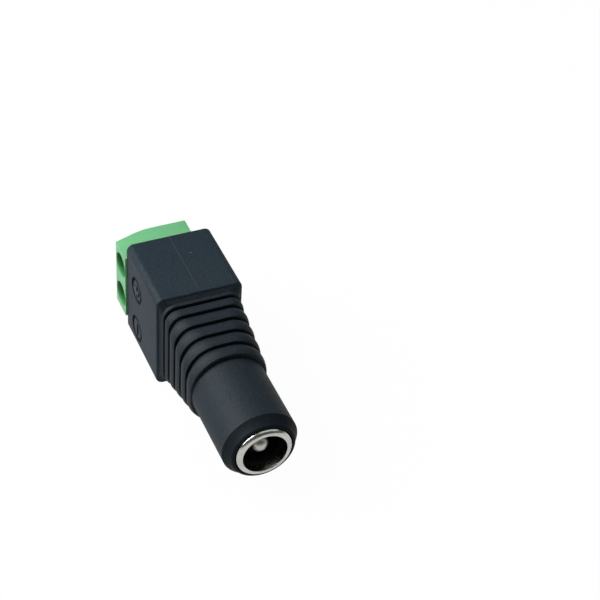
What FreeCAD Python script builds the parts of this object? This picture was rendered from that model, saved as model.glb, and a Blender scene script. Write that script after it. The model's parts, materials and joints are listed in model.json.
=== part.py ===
"""A barrel jack wired to a two-pole screw terminal, in one overmoulded body.

Millimetres. The origin is the middle of the jack's mouth and +X points out of it. The wires go in
from the far end, at -X. The screw heads face -Y. +Z is up as the adapter lies, so the two poles are
one above the other, the positive one on top. The cages are modelled fully open.
"""
import FreeCAD, Part

import math
import os
import re

import Sketcher
from FreeCAD import Vector

# Every size that can be set by itself, in millimetres.
SIZES = [
    ("block_length", 12.0, "moulded block, along the adapter"),
    ("block_width", 11.9, "moulded block, across, in the direction of the screws"),
    ("block_height", 14.8, "moulded block, across both poles"),
    ("block_corner", 1.0, "rounding of the block's long edges"),
    ("block_edge", 0.35, "bevel of the block's end edges"),
    ("relief_length", 11.2, "ribbed stretch between block and barrel"),
    ("relief_rear_width", 11.0, "ribbed stretch at the block, across"),
    ("relief_rear_height", 12.8, "ribbed stretch at the block, upright"),
    ("relief_rear_corner", 1.5, "corner radius of the section at the block"),
    ("relief_front_width", 10.7, "ribbed stretch at the barrel, across"),
    ("relief_front_height", 11.7, "ribbed stretch at the barrel, upright"),
    ("relief_front_corner", 5.2, "corner radius of the section at the barrel"),
    ("first_rib_length", 0.6, "narrow rib next to the block"),
    ("groove_width", 0.45, "gap between two ribs"),
    ("groove_depth", 0.6, "depth of those gaps"),
    ("rib_crown", 0.22, "how far a rib's middle stands above its edges"),
    ("barrel_diameter", 10.1, "round barrel around the jack"),
    ("barrel_length", 12.0, "from the ring's front to the last rib"),
    ("mouth_setback", 0.45, "plastic mouth behind the ring's front"),
    ("mouth_rounding", 1.1, "rounding of the plastic mouth's edge"),
    ("mark_diameter", 3.8, "round recesses for the polarity signs"),
    ("mark_depth", 0.3, "their depth"),
    ("mark_spacing", 6.8, "their distance from each other"),
    ("mark_offset", 0.75, "how far their middle lies below the axis"),
    ("mark_setback", 4.0, "their distance from the block's rear face"),
    ("lip_diameter", 7.5, "rolled lip of the jack's shell"),
    ("lip_length", 0.9, "length of that lip"),
    ("lip_bore_length", 1.2, "shell's own stretch of the bore"),
    ("bore_diameter", 5.9, "bore that takes the plug's barrel"),
    ("bore_depth", 10.5, "depth of that bore"),
    ("shell_diameter", 6.9, "shell behind its lip"),
    ("shell_wall", 0.3, "sheet of the shell"),
    ("shell_length", 11.0, "whole length of the shell"),
    ("insulator_base", 2.6, "solid rear of the jack's insulator"),
    ("liner_lead_in", 0.6, "taper that leads a plug past the lip into the insulator's bore"),
    ("liner_taper", 0.1, "how much the bore widens over that taper, to each side"),
    ("pin_diameter", 2.0, "centre pin"),
    ("pin_recess", 1.45, "pin's tip behind the ring's front"),
    ("pin_dome", 0.6, "length of the pin's round tip"),
    ("stem_diameter", 1.5, "pin's stem through the insulator"),
    ("rivet_diameter", 2.4, "head that closes the stem over the lug"),
    ("rivet_height", 0.4, "height of that head"),
    ("tag_thickness", 0.4, "sheet of the pin's solder lug"),
    ("tag_diameter", 4.4, "round part of the lug"),
    ("tag_width", 1.8, "tail of the lug"),
    ("tag_tail", 4.0, "length of that tail"),
    ("leaf_seat", 2.8, "outer face of the contact leaf, from the axis"),
    ("leaf_thickness", 0.25, "sheet of the leaf"),
    ("leaf_width", 1.6, "width of the leaf"),
    ("leaf_front", 3.6, "leaf's front end behind the ring's front"),
    ("leaf_bow_length", 5.0, "length of its inward bow"),
    ("leaf_bow_height", 0.25, "height of that bow"),
    ("leaf_tail", 4.2, "tail of the leaf behind the insulator"),
    ("pitch", 5.08, "distance between the two poles"),
    ("terminal_reach", 5.2, "terminal block outside the moulded block"),
    ("screw_face_offset", 6.2, "screw face from the jack's axis"),
    ("terminal_back_offset", 4.2, "opposite face from the jack's axis"),
    ("chamfer_length", 1.35, "slanted face, along the adapter"),
    ("chamfer_height", 4.1, "slanted face, in the direction of the screws"),
    ("rebate_length", 3.1, "joining rebate in the lower back edge, from the moulded block"),
    ("rebate_height", 0.8, "its height"),
    ("rebate_depth", 0.45, "its depth"),
    ("tongue_length", 2.2, "terminal block's rear inside the moulded block"),
    ("tongue_inset", 0.3, "tongue's top and bottom inside those of the terminal block"),
    ("tongue_screw_side", 4.4, "tongue's screw side from the jack's axis"),
    ("divider", 0.5, "wall between the two windows, and twice the outer walls"),
    ("window_back_wall", 0.75, "wall between the windows and the face opposite the screws"),
    ("window_land", 0.1, "window's edge from the start of the slanted face"),
    ("chamber_front", 1.65, "cage chamber behind the wire face"),
    ("chamber_depth", 5.05, "end of the window and chamber behind the wire face"),
    ("screw_setback", 3.35, "screw axis behind the wire face"),
    ("screw_hole_diameter", 3.6, "screwdriver hole"),
    ("screw_hole_depth", 2.95, "depth of that hole down to its ledge"),
    ("ledge_thickness", 0.5, "ledge between the hole and the cage chamber"),
    ("neck_diameter", 2.8, "hole through the ledge"),
    ("head_diameter", 3.3, "screw head"),
    ("head_height", 1.25, "screw head"),
    ("head_clearance", 0.05, "head above the ledge"),
    ("screw_bevel", 0.25, "bevel around the head's top and around the tip"),
    ("driver_slot_width", 0.6, "slot in the head"),
    ("driver_slot_depth", 0.7, "slot in the head"),
    ("shank_diameter", 2.4, "screw's shank over its threads"),
    ("thread_clearance", 0.05, "cage's hole around the shank, on the radius"),
    ("tip_clearance", 0.03, "screw's tip above the contact bar"),
    ("bar_offset", 0.29, "bar's screw side from the jack's axis"),
    ("bar_thickness", 0.6, "contact bar"),
    ("bar_width", 3.4, "contact bar inside the cage"),
    ("bar_lip_height", 1.85, "bent front lip, with the bar's thickness"),
    ("bar_lip_width", 3.9, "bent front lip"),
    ("bar_lip_thickness", 0.4, "bent front lip"),
    ("bar_lip_lean", 0.2, "how far the lip's end leans to the wire face"),
    ("bar_lip_gap", 0.15, "lip in front of the cage"),
    ("bar_pin_width", 1.0, "bar's solder pin"),
    ("bar_pin_length", 5.3, "solder pin behind the chamber"),
    ("cage_gap", 0.1, "cage in its chamber, on each side"),
    ("cage_side", 0.4, "cage's two side walls"),
    ("cage_floor", 0.8, "cage's floor, which lifts the wire"),
    ("cage_top", 1.25, "cage's tapped top"),
    ("cage_opening", 2.33, "wire opening of the cage, over the bar too"),
    ("cage_rounding", 0.7, "cage's outer corners at its floor"),
    ("cage_inner_rounding", 0.3, "corners of its opening at the floor"),
    ("cage_bar_gap", 0.15, "cage's top above the bar when fully open"),
    ("core_diameter", 0.8, "lead's tinned core"),
    ("jacket_diameter", 1.5, "lead's insulation"),
    ("core_setback", 1.5, "lead's front end behind the insulator"),
    ("core_end_gap", 0.4, "lead's rear end from the terminal block"),
    ("strip_length", 3.0, "bare stretch at each end of a lead"),
    ("solder_diameter", 1.25, "solder beads"),
    ("solder_length", 1.5, "solder beads, along the leads"),
    ("solder_film", 0.08, "solder between a lead and what it is soldered to"),
    ("solder_setback", 1.4, "beads from the lead's ends"),
    ("overshoot", 1.0, "how far a cut starts outside the face that it opens"),
]
SIZE_NAMES = {name for name, _, _ in SIZES}

# Places along the adapter, from the ring's front at 0 towards the wires at -X.
SHOULDER = "-barrel_length"
BLOCK_FRONT = "(-barrel_length - relief_length)"
BLOCK_REAR = f"({BLOCK_FRONT} - block_length)"
WIRE_FACE = f"({BLOCK_REAR} - terminal_reach)"
SCREW_X = f"({WIRE_FACE} + screw_setback)"
CHAMBER_FRONT = f"({WIRE_FACE} + chamber_front)"
CHAMBER_REAR = f"({WIRE_FACE} + chamber_depth)"
TONGUE_REAR = f"({BLOCK_REAR} + tongue_length)"
INSULATOR_REAR = "(-bore_depth - insulator_base)"
TAG_REAR = f"({INSULATOR_REAR} - tag_thickness)"
CORE_FRONT = f"({INSULATOR_REAR} - core_setback)"
CORE_REAR = f"({TONGUE_REAR} + core_end_gap)"

# Places in the direction of the screws, the screw face being at -Y.
SCREW_FACE = "-screw_face_offset"
LEDGE_TOP = "(screw_hole_depth - screw_face_offset)"
CHAMBER_TOP = f"({LEDGE_TOP} + ledge_thickness)"
WINDOW_SCREW_SIDE = "(chamfer_height + window_land - screw_face_offset)"
WINDOW_BACK = "(terminal_back_offset - window_back_wall)"
HEAD_SEAT = f"({LEDGE_TOP} - head_clearance)"
BAR_BACK = "(bar_offset + bar_thickness)"
CAGE_TOP_INSIDE = "(bar_offset - cage_bar_gap)"
CAGE_TOP_OUTSIDE = f"({CAGE_TOP_INSIDE} - cage_top)"
CAGE_FLOOR_INSIDE = f"({CAGE_TOP_INSIDE} + cage_opening)"
CAGE_FLOOR_OUTSIDE = f"({CAGE_FLOOR_INSIDE} + cage_floor)"
CORE_Y = "(bar_offset - solder_film - core_diameter / 2)"

# Half widths of what fits inside a pole, and heights of the two leads.
POLE = "pitch / 2"
WINDOW_HALF = "((pitch - divider) / 2)"
CAGE_HALF = f"({WINDOW_HALF} - cage_gap)"
CAGE_INSIDE_HALF = f"({CAGE_HALF} - cage_side)"
POSITIVE_CORE_Z = "(pitch / 2)"
NEGATIVE_CORE_Z = "(leaf_thickness - leaf_seat + solder_film + core_diameter / 2)"

BROAD_RIBS = 5
RIB_STEPS = 2
MOUTH_STEPS = 3
LIP_STEPS = 4
RIB_SHARE = f"((relief_length - first_rib_length) / {BROAD_RIBS})"

doc = FreeCAD.newDocument("dc_adapter")
sheet = doc.addObject("Spreadsheet::Sheet", "Sizes")
for row, (name, size, meaning) in enumerate(SIZES, start=1):
    sheet.set(f"A{row}", meaning)
    sheet.set(f"B{row}", str(size))
    sheet.setAlias(f"B{row}", name)
doc.recompute()


def bound(text):
    """Writes a formula on size names as a document expression."""
    return re.sub(r"[a-z_]+", lambda word: "Sizes." + word[0] if word[0] in SIZE_NAMES else word[0], text)


def number(text):
    """Value of a formula on size names."""
    return float(sheet.evalExpression(text))


def bind(obj, settings):
    """Ties an object's properties to formulas on the sheet's sizes."""
    for prop, text in settings.items():
        obj.setExpression(prop, bound(text))


def new_body(label):
    body = doc.addObject("PartDesign::Body", label)
    body.Label = label
    return body


def new_sketch(body, name, plane, offset="0"):
    """Empty sketch on one of the body's own planes, moved along that plane's normal."""
    sketch = body.newObject("Sketcher::SketchObject", name)
    base = next(f for f in body.Origin.OriginFeatures if f.Role == plane)
    sketch.AttachmentSupport = [(base, "")]
    sketch.MapMode = "FlatFace"
    bind(sketch, {"AttachmentOffset.Base.z": offset})
    return sketch


def round_edge(start, end, radius):
    """Arc that bulges to the right of the way from start to end."""
    chord = end - start
    middle = (start + end) * 0.5
    side = Vector(chord.y, -chord.x, 0).normalize()
    drop = math.sqrt(max(radius**2 - (chord.Length / 2) ** 2, 0.0))
    return Part.Arc(start, middle + side * (radius - drop), end)


def flats(x, height, radius, start, end, steps):
    """Points of a rounding about (x, height), turned as a few short flats, between two angles in degrees."""
    points = []
    for i in range(steps + 1):
        angle = start + (end - start) * i / steps
        points.append((f"{x} + {radius} * cos({angle} deg)", f"{height} + {radius} * sin({angle} deg)"))
    return points


def draw(sketch, points, arcs=None):
    """Closed outline, anticlockwise, with every corner bound to the sheet.

    points holds a pair of formulas for each corner. arcs gives the radius formula of each edge,
    counted from 0, that is round instead of straight.
    """
    arcs = arcs or {}
    corners = [Vector(number(x), number(y), 0) for x, y in points]
    first = sketch.GeometryCount
    for i, corner in enumerate(corners):
        following = corners[(i + 1) % len(corners)]
        if i in arcs:
            sketch.addGeometry(round_edge(corner, following, number(arcs[i])), False)
        else:
            sketch.addGeometry(Part.LineSegment(corner, following), False)
    for i, (x, y) in enumerate(points):
        edge = first + i
        following = first + (i + 1) % len(points)
        sketch.addConstraint(Sketcher.Constraint("Coincident", edge, 2, following, 1))
        for kind, text, at in (("DistanceX", x, corners[i].x), ("DistanceY", y, corners[i].y)):
            rule = sketch.addConstraint(Sketcher.Constraint(kind, -1, 1, edge, 1, at))
            bind(sketch, {f"Constraints[{rule}]": text})
    for i, text in arcs.items():
        rule = sketch.addConstraint(Sketcher.Constraint("Radius", first + i, number(text)))
        bind(sketch, {f"Constraints[{rule}]": text})


def draw_box(sketch, low, high):
    """Rectangle between two corners, each a pair of formulas."""
    (x0, y0), (x1, y1) = low, high
    draw(sketch, [(x0, y0), (x1, y0), (x1, y1), (x0, y1)])


def draw_round_box(sketch, half_width, half_height, radius):
    """Rectangle about the sketch's origin with four round corners."""
    w, h, r = half_width, half_height, radius
    points = [
        (f"{w}", f"{r} - {h}"),
        (f"{w}", f"{h} - {r}"),
        (f"{w} - {r}", f"{h}"),
        (f"{r} - {w}", f"{h}"),
        (f"-{w}", f"{h} - {r}"),
        (f"-{w}", f"{r} - {h}"),
        (f"{r} - {w}", f"-{h}"),
        (f"{w} - {r}", f"-{h}"),
    ]
    draw(sketch, points, {1: r, 3: r, 5: r, 7: r})


def draw_circle(sketch, x, y, radius):
    """Circle with its centre and radius bound to the sheet."""
    centre = Vector(number(x), number(y), 0)
    ring = sketch.addGeometry(Part.Circle(centre, Vector(0, 0, 1), number(radius)), False)
    for kind, text, at in (("DistanceX", x, centre.x), ("DistanceY", y, centre.y)):
        rule = sketch.addConstraint(Sketcher.Constraint(kind, -1, 1, ring, 3, at))
        bind(sketch, {f"Constraints[{rule}]": text})
    rule = sketch.addConstraint(Sketcher.Constraint("Radius", ring, number(radius)))
    bind(sketch, {f"Constraints[{rule}]": radius})


def pad(body, name, sketch, length, centred=False, backwards=False):
    feature = body.newObject("PartDesign::Pad", name)
    feature.Profile = sketch
    if centred:
        feature.SideType = "Symmetric"
    feature.Reversed = backwards
    bind(feature, {"Length": length})
    return feature


def pocket(body, name, sketch, length, centred=False, backwards=False):
    feature = body.newObject("PartDesign::Pocket", name)
    feature.Profile = sketch
    if centred:
        feature.SideType = "Symmetric"
    feature.Reversed = backwards
    bind(feature, {"Length": length})
    return feature


def turned(body, name, kind, points, arcs=None, axis="H_Axis"):
    """Full turn of an outline on the XY plane, added (Revolution) or cut (Groove)."""
    sketch = new_sketch(body, name + "_outline", "XY_Plane")
    draw(sketch, points, arcs)
    feature = body.newObject("PartDesign::" + kind, name)
    feature.Profile = sketch
    feature.ReferenceAxis = (sketch, [axis])
    feature.Angle = 360.0
    return feature


def joined(label, shapes):
    """Several objects as one cutter."""
    group = doc.addObject("Part::MultiFuse", label)
    group.Shapes = shapes
    return group


def cut(label, base, tool):
    result = doc.addObject("Part::Cut", label)
    result.Label = label
    result.Base = base
    result.Tool = tool
    return result


def rod(label, start_x, end_x, y, z, radius):
    """Straight round rod along X."""
    cylinder = doc.addObject("Part::Cylinder", label)
    cylinder.Label = label
    cylinder.Placement.Rotation = FreeCAD.Rotation(Vector(0, 0, 1), Vector(1, 0, 0))
    bind(
        cylinder,
        {
            "Radius": radius,
            "Height": f"{end_x} - {start_x}",
            "Placement.Base.x": start_x,
            "Placement.Base.y": y,
            "Placement.Base.z": z,
        },
    )
    return cylinder


def relief_section(body, name, place, inset):
    """Section of the ribbed stretch, part of the way from its block end to its barrel end."""
    share = f"(({place} - {BLOCK_FRONT}) / relief_length)"
    sketch = new_sketch(body, name, "YZ_Plane", place)
    width = f"(relief_rear_width + (relief_front_width - relief_rear_width) * {share})"
    height = f"(relief_rear_height + (relief_front_height - relief_rear_height) * {share})"
    corner = f"(relief_rear_corner + (relief_front_corner - relief_rear_corner) * {share} - {inset})"
    draw_round_box(sketch, f"({width} / 2 - {inset})", f"({height} / 2 - {inset})", corner)
    return sketch


def relief_loft(body, name, stations):
    """Loft through sections, each given as its place and its inset."""
    sections = []
    for i, (place, inset) in enumerate(stations):
        sections.append(relief_section(body, f"{name}_{i}", place, inset))
    loft = body.newObject("PartDesign::AdditiveLoft", name)
    loft.Profile = sections[0]
    loft.Sections = sections[1:]
    loft.Ruled = True
    return loft


def make_overmould_form():
    """Moulded body before the pieces inside it are taken out of it."""
    body = new_body("overmould_form")
    outline = new_sketch(body, "block_outline", "YZ_Plane", BLOCK_REAR)
    draw_round_box(outline, "(block_width / 2)", "(block_height / 2)", "block_corner")
    block = pad(body, "block", outline, "block_length")
    doc.recompute()
    edges = body.newObject("PartDesign::Chamfer", "block_end_edges")
    edges.Base = (block, ["Face9", "Face10"])
    bind(edges, {"Size": "block_edge"})

    marks = new_sketch(body, "polarity_recesses_outline", "XZ_Plane", "block_width / 2")
    for z in ("mark_spacing / 2 - mark_offset", "-mark_spacing / 2 - mark_offset"):
        draw_circle(marks, f"{BLOCK_REAR} + mark_setback", z, "mark_diameter / 2")
    pocket(body, "polarity_recesses", marks, "mark_depth")

    relief_loft(body, "relief_core", [(BLOCK_FRONT, "groove_depth"), (SHOULDER, "groove_depth")])
    first_end = f"({BLOCK_FRONT} + first_rib_length)"
    relief_loft(body, "rib_0", [(BLOCK_FRONT, "0"), (first_end, "rib_crown")])
    for k in range(BROAD_RIBS):
        start = f"{first_end} + {RIB_SHARE} * {k} + groove_width"
        stations = []
        for step in range(RIB_STEPS + 1):
            share = step / RIB_STEPS
            place = f"({start} + ({RIB_SHARE} - groove_width) * {share})"
            stations.append((place, f"(rib_crown * {(2 * share - 1) ** 2})"))
        relief_loft(body, f"rib_{k + 1}", stations)

    centre_x, centre_height = "-mouth_setback - mouth_rounding", "barrel_diameter / 2 - mouth_rounding"
    barrel = [
        (SHOULDER, "0"),
        ("-mouth_setback", "0"),
        *flats(centre_x, centre_height, "mouth_rounding", 0, 90, MOUTH_STEPS),
        (SHOULDER, "barrel_diameter / 2"),
    ]
    turned(body, "barrel", "Revolution", barrel)
    seat = [
        (INSULATOR_REAR, "0"),
        ("0", "0"),
        ("0", "lip_diameter / 2"),
        ("-lip_length", "lip_diameter / 2"),
        ("-lip_length", "shell_diameter / 2"),
        ("-shell_length", "shell_diameter / 2"),
        ("-shell_length", "shell_diameter / 2 - shell_wall"),
        (INSULATOR_REAR, "shell_diameter / 2 - shell_wall"),
    ]
    turned(body, "jack_seat", "Groove", seat)
    return body


def make_jack_shell():
    """Sheet sleeve with a lip rolled round at the mouth."""
    body = new_body("jack_shell")
    roll = "((lip_diameter - bore_diameter) / 4)"
    outline = [
        ("-shell_length", "shell_diameter / 2 - shell_wall"),
        ("-lip_bore_length", "shell_diameter / 2 - shell_wall"),
        ("-lip_bore_length", "bore_diameter / 2"),
        *flats(f"-{roll}", f"bore_diameter / 2 + {roll}", roll, -90, 90, LIP_STEPS),
        ("-lip_length", "lip_diameter / 2"),
        ("-lip_length", "shell_diameter / 2"),
        ("-shell_length", "shell_diameter / 2"),
    ]
    turned(body, "sleeve", "Revolution", outline)
    return body


def make_jack_insulator():
    """Moulded liner of the shell, with a solid base that holds the pin and the leaf."""
    body = new_body("jack_insulator")
    outline = [
        (INSULATOR_REAR, "stem_diameter / 2"),
        ("-bore_depth", "stem_diameter / 2"),
        ("-bore_depth", "bore_diameter / 2"),
        ("-lip_bore_length - liner_lead_in", "bore_diameter / 2"),
        ("-lip_bore_length", "bore_diameter / 2 + liner_taper"),
        ("-lip_bore_length", "shell_diameter / 2 - shell_wall"),
        (INSULATOR_REAR, "shell_diameter / 2 - shell_wall"),
    ]
    turned(body, "liner", "Revolution", outline)
    slot = new_sketch(body, "leaf_slot_outline", "YZ_Plane", "-bore_depth")
    draw_box(slot, ("-leaf_width / 2", "-leaf_seat"), ("leaf_width / 2", "leaf_thickness - leaf_seat"))
    pocket(body, "leaf_slot", slot, "insulator_base")
    return body


def make_center_pin():
    """Turned pin with a round tip, a thinner stem and a riveted end."""
    body = new_body("center_pin")
    dome_radius = "((pin_diameter ^ 2 / 4 + pin_dome ^ 2) / (2 * pin_dome))"
    outline = [
        (f"{TAG_REAR} - rivet_height", "0"),
        ("-pin_recess", "0"),
        ("-pin_recess - pin_dome", "pin_diameter / 2"),
        ("-bore_depth", "pin_diameter / 2"),
        ("-bore_depth", "stem_diameter / 2"),
        (TAG_REAR, "stem_diameter / 2"),
        (TAG_REAR, "rivet_diameter / 2"),
        (f"{TAG_REAR} - rivet_height", "rivet_diameter / 2"),
    ]
    turned(body, "pin", "Revolution", outline, {1: dome_radius})
    return body


def make_pin_tag():
    """Flat lug around the pin's stem, with a tail bent back over the lead."""
    body = new_body("pin_tag")
    disc = new_sketch(body, "lug_outline", "YZ_Plane", TAG_REAR)
    draw_circle(disc, "0", "0", "tag_diameter / 2")
    draw_circle(disc, "0", "0", "stem_diameter / 2")
    pad(body, "lug", disc, "tag_thickness")
    tail_top = f"({POSITIVE_CORE_Z} - core_diameter / 2 - solder_film)"
    tail = new_sketch(body, "tail_outline", "YZ_Plane", f"{TAG_REAR} - tag_tail")
    draw_box(tail, ("-tag_width / 2", f"{tail_top} - tag_thickness"), ("tag_width / 2", tail_top))
    pad(body, "tail", tail, "tag_tail + tag_thickness / 2")
    return body


def make_sleeve_contact():
    """Strip that bows into the bore, where the plug's barrel presses it, and ends in a tail."""
    body = new_body("sleeve_contact")
    outside, inside = "-leaf_seat", "(leaf_thickness - leaf_seat)"
    bow_end = "(-leaf_front - leaf_bow_length)"
    bow_middle = "(-leaf_front - leaf_bow_length / 2)"
    tail_end = f"({INSULATOR_REAR} - leaf_tail)"
    outline = [
        (tail_end, outside),
        (bow_end, outside),
        (bow_middle, f"{outside} + leaf_bow_height"),
        ("-leaf_front", outside),
        ("-leaf_front", inside),
        (bow_middle, f"{inside} + leaf_bow_height"),
        (bow_end, inside),
        (tail_end, inside),
    ]
    strip = new_sketch(body, "strip_outline", "XZ_Plane")
    draw(strip, outline)
    pad(body, "strip", strip, "leaf_width", centred=True)
    return body


def make_terminal_envelope():
    """Outside of the terminal block, with its tongue inside the moulded block."""
    body = new_body("terminal_envelope")
    outline = [
        (WIRE_FACE, "terminal_back_offset"),
        (WIRE_FACE, "chamfer_height - screw_face_offset"),
        (f"{WIRE_FACE} + chamfer_length", SCREW_FACE),
        (BLOCK_REAR, SCREW_FACE),
        (BLOCK_REAR, "terminal_back_offset"),
    ]
    side = new_sketch(body, "side_outline", "XY_Plane")
    draw(side, outline)
    pad(body, "case", side, "2 * pitch", centred=True)
    tongue = new_sketch(body, "tongue_outline", "XY_Plane")
    low = (BLOCK_REAR, "-tongue_screw_side")
    high = (TONGUE_REAR, "terminal_back_offset - tongue_inset")
    draw_box(tongue, low, high)
    pad(body, "tongue", tongue, "2 * (pitch - tongue_inset)", centred=True)
    rebate = new_sketch(body, "rebate_outline", "XZ_Plane", "-terminal_back_offset")
    end = f"({BLOCK_REAR} - rebate_length)"
    outline = [
        (end, "-pitch"),
        (BLOCK_REAR, "-pitch"),
        (BLOCK_REAR, "rebate_height - pitch"),
        (f"{end} + rebate_height", "rebate_height - pitch"),
    ]
    draw(rebate, outline, {3: "rebate_height"})
    pocket(body, "rebate", rebate, "rebate_depth", backwards=True)
    return body


def make_pole_hollow(label, side):
    """Everything that is open in one pole: window, cage chamber, screw hole and the bar's slot."""
    body = new_body(label)
    window = new_sketch(body, label + "_window_outline", "XY_Plane")
    draw_box(window, (f"{WIRE_FACE} - overshoot", WINDOW_SCREW_SIDE), (CHAMBER_REAR, WINDOW_BACK))
    pad(body, label + "_window", window, f"2 * {WINDOW_HALF}", centred=True)
    chamber = new_sketch(body, label + "_chamber_outline", "XY_Plane")
    draw_box(chamber, (CHAMBER_FRONT, CHAMBER_TOP), (CHAMBER_REAR, WINDOW_BACK))
    pad(body, label + "_chamber", chamber, f"2 * {WINDOW_HALF}", centred=True)
    hole = new_sketch(body, label + "_hole_outline", "XZ_Plane", f"-{LEDGE_TOP}")
    draw_circle(hole, SCREW_X, "0", "screw_hole_diameter / 2")
    pad(body, label + "_hole", hole, "screw_hole_depth + overshoot")
    neck = new_sketch(body, label + "_neck_outline", "XZ_Plane", f"-{CHAMBER_TOP}")
    draw_circle(neck, SCREW_X, "0", "neck_diameter / 2")
    pad(body, label + "_neck", neck, "ledge_thickness")
    slot = new_sketch(body, label + "_slot_outline", "XY_Plane")
    draw_box(slot, (CHAMBER_REAR, "bar_offset"), (TONGUE_REAR, BAR_BACK))
    pad(body, label + "_slot", slot, "bar_pin_width", centred=True)
    bind(body, {"Placement.Base.z": f"{side} * {POLE}"})
    return body


def make_clamp_cage(label, side):
    """Box open along the wire, tapped in its top, that the screw pulls up."""
    body = new_body(label)
    front, rear = f"({CHAMBER_FRONT} + cage_gap)", f"({CHAMBER_REAR} - cage_gap)"
    ring = new_sketch(body, label + "_outline", "YZ_Plane", front)
    outside = [
        (CAGE_TOP_OUTSIDE, f"-{CAGE_HALF}"),
        (f"{CAGE_FLOOR_OUTSIDE} - cage_rounding", f"-{CAGE_HALF}"),
        (CAGE_FLOOR_OUTSIDE, f"cage_rounding - {CAGE_HALF}"),
        (CAGE_FLOOR_OUTSIDE, f"{CAGE_HALF} - cage_rounding"),
        (f"{CAGE_FLOOR_OUTSIDE} - cage_rounding", CAGE_HALF),
        (CAGE_TOP_OUTSIDE, CAGE_HALF),
    ]
    draw(ring, outside, {1: "cage_rounding", 3: "cage_rounding"})
    inside = [
        (CAGE_TOP_INSIDE, f"-{CAGE_INSIDE_HALF}"),
        (f"{CAGE_FLOOR_INSIDE} - cage_inner_rounding", f"-{CAGE_INSIDE_HALF}"),
        (CAGE_FLOOR_INSIDE, f"cage_inner_rounding - {CAGE_INSIDE_HALF}"),
        (CAGE_FLOOR_INSIDE, f"{CAGE_INSIDE_HALF} - cage_inner_rounding"),
        (f"{CAGE_FLOOR_INSIDE} - cage_inner_rounding", CAGE_INSIDE_HALF),
        (CAGE_TOP_INSIDE, CAGE_INSIDE_HALF),
    ]
    draw(ring, inside, {1: "cage_inner_rounding", 3: "cage_inner_rounding"})
    pad(body, label + "_box", ring, f"{rear} - {front}")
    hole = new_sketch(body, label + "_hole_outline", "XZ_Plane", f"-{CAGE_TOP_OUTSIDE}")
    draw_circle(hole, SCREW_X, "0", "shank_diameter / 2 + thread_clearance")
    pocket(body, label + "_hole", hole, "cage_top")
    bind(body, {"Placement.Base.z": f"{side} * {POLE}"})
    return body


def make_clamp_screw(label, side):
    """Slotted screw, turned about its own Y axis, its tip resting on the contact bar."""
    body = new_body(label)
    top = f"({HEAD_SEAT} - head_height)"
    outline = [
        ("0", top),
        ("head_diameter / 2 - screw_bevel", top),
        ("head_diameter / 2", f"{top} + screw_bevel"),
        ("head_diameter / 2", HEAD_SEAT),
        ("shank_diameter / 2", HEAD_SEAT),
        ("shank_diameter / 2", "bar_offset - tip_clearance - screw_bevel"),
        ("shank_diameter / 2 - screw_bevel", "bar_offset - tip_clearance"),
        ("0", "bar_offset - tip_clearance"),
    ]
    turned(body, label + "_turning", "Revolution", outline, axis="V_Axis")
    slot = new_sketch(body, label + "_slot_outline", "XZ_Plane", f"-{top}")
    draw_box(slot, ("-head_diameter", "-driver_slot_width / 2"), ("head_diameter", "driver_slot_width / 2"))
    pocket(body, label + "_slot", slot, "driver_slot_depth")
    bind(body, {"Placement.Base.x": SCREW_X, "Placement.Base.z": f"{side} * {POLE}"})
    return body


def make_contact_bar(label, side):
    """Fixed bar through the cage, with a bent lip in the window and a solder pin at the rear."""
    body = new_body(label)
    lip_rear = f"({CHAMBER_FRONT} + cage_gap - bar_lip_gap)"
    bar = new_sketch(body, label + "_bar_outline", "XY_Plane")
    draw_box(bar, (lip_rear, "bar_offset"), (CHAMBER_REAR, BAR_BACK))
    pad(body, label + "_bar", bar, "bar_width", centred=True)
    lip = new_sketch(body, label + "_lip_outline", "XY_Plane")
    lip_end = f"({BAR_BACK} - bar_lip_height)"
    outline = [
        (f"{lip_rear} - bar_lip_thickness", BAR_BACK),
        (f"{lip_rear} - bar_lip_thickness - bar_lip_lean", lip_end),
        (f"{lip_rear} - bar_lip_lean", lip_end),
        (lip_rear, "bar_offset"),
        (lip_rear, BAR_BACK),
    ]
    draw(lip, outline)
    pad(body, label + "_lip", lip, "bar_lip_width", centred=True)
    pin = new_sketch(body, label + "_pin_outline", "XY_Plane")
    draw_box(pin, (CHAMBER_REAR, "bar_offset"), (f"{CHAMBER_REAR} + bar_pin_length", BAR_BACK))
    pad(body, label + "_pin", pin, "bar_pin_width", centred=True)
    bind(body, {"Placement.Base.z": f"{side} * {POLE}"})
    return body


def make_lead(pole, z):
    """Tinned core and its insulation, which leaves both ends bare."""
    core = rod(f"{pole}_lead", CORE_REAR, CORE_FRONT, CORE_Y, z, "core_diameter / 2")
    start, end = f"({CORE_REAR} + strip_length)", f"({CORE_FRONT} - strip_length)"
    sleeve = rod(f"{pole}_sleeve", start, end, CORE_Y, z, "jacket_diameter / 2")
    return core, sleeve, cut(f"{pole}_jacket", sleeve, core)


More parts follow.
